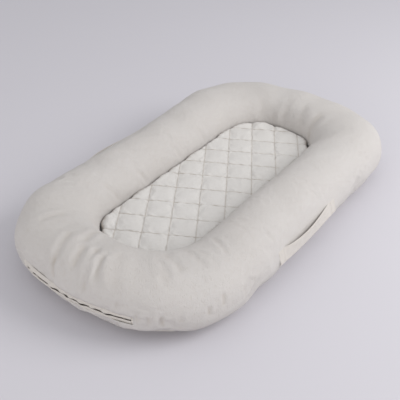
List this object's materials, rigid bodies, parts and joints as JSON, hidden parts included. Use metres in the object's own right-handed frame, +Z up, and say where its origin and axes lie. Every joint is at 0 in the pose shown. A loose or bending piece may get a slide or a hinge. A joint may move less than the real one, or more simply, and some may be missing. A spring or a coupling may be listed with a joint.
{
  "type": "infant lounger",
  "caption": "Padded oval ring with a quilted pad in its nest, a hidden zip across the foot end and cloth carrying handles on the long sides.",
  "frame": {"origin": "on the floor under the middle of the lounger", "axes": "+X along the length towards the head end, -X is the foot end with the zip, +Y the far long side, +Z up"},
  "size_m": [0.881, 0.5338, 0.117],
  "materials": {
    "gauze": "crinkled off-white cotton gauze",
    "smooth_cotton": "smooth off-white cotton with stitched lines",
    "underside_cotton": "plain cotton",
    "thread": "sewn thread",
    "fibre_filling": "loose polyester fibre",
    "core_padding": "firm wadding",
    "zip_tape": "woven zip tape",
    "zip_plastic": "moulded zip teeth",
    "zip_metal": "satin die-cast metal"
  },
  "bodies": {
    "ring": {"cover_top": "gauze", "cover_floor": "smooth_cotton", "cover_base": "underside_cotton", "seam_bead": "thread", "filling_ring": "fibre_filling", "core": "core_padding", "zip_lip_upper": "gauze", "zip_lip_lower": "gauze", "zip_tape_upper": "zip_tape", "zip_tape_lower": "zip_tape", "zip_teeth_upper": "zip_plastic", "zip_teeth_lower": "zip_plastic", "zip_stop_upper": "zip_plastic", "zip_stop_lower": "zip_plastic", "zip_stop_end": "zip_plastic", "zip_tack_left": "thread", "zip_tack_right": "thread", "handle_tab_left_foot": "gauze", "handle_tab_left_head": "gauze", "handle_tab_right_foot": "gauze", "handle_tab_right_head": "gauze"},
    "pad": {"pad_quilt": "smooth_cotton", "pad_backing": "smooth_cotton"},
    "slider": {"zip_slider": "zip_metal"},
    "pull": {"zip_pull": "zip_metal"},
    "handle_left": {"handle_left": "gauze"},
    "handle_right": {"handle_right": "gauze"}
  },
  "joints": [
    {"name": "pad_lift", "type": "slide", "parent": "ring", "child": "pad", "axis": [0, 0, 1], "range_m": [0, 0.15]},
    {"name": "zip_run", "type": "hinge", "parent": "ring", "child": "slider", "pos_m": [-0.01, 0, 0.052], "axis": [0, 0, 1], "range_deg": [0, 29.9]},
    {"name": "pull_turn", "type": "hinge", "parent": "slider", "child": "pull", "pos_m": [-0.42182, 0.11489, 0.052], "axis": [0, 0, -1], "range_deg": [0, 120]},
    {"name": "handle_left_swing", "type": "hinge", "parent": "ring", "child": "handle_left", "pos_m": [-0.038, 0.24614, 0.076], "axis": [1, 0, 0], "range_deg": [0, 100]},
    {"name": "handle_right_swing", "type": "hinge", "parent": "ring", "child": "handle_right", "pos_m": [-0.038, -0.24614, 0.076], "axis": [-1, 0, 0], "range_deg": [0, 100]}
  ]
}
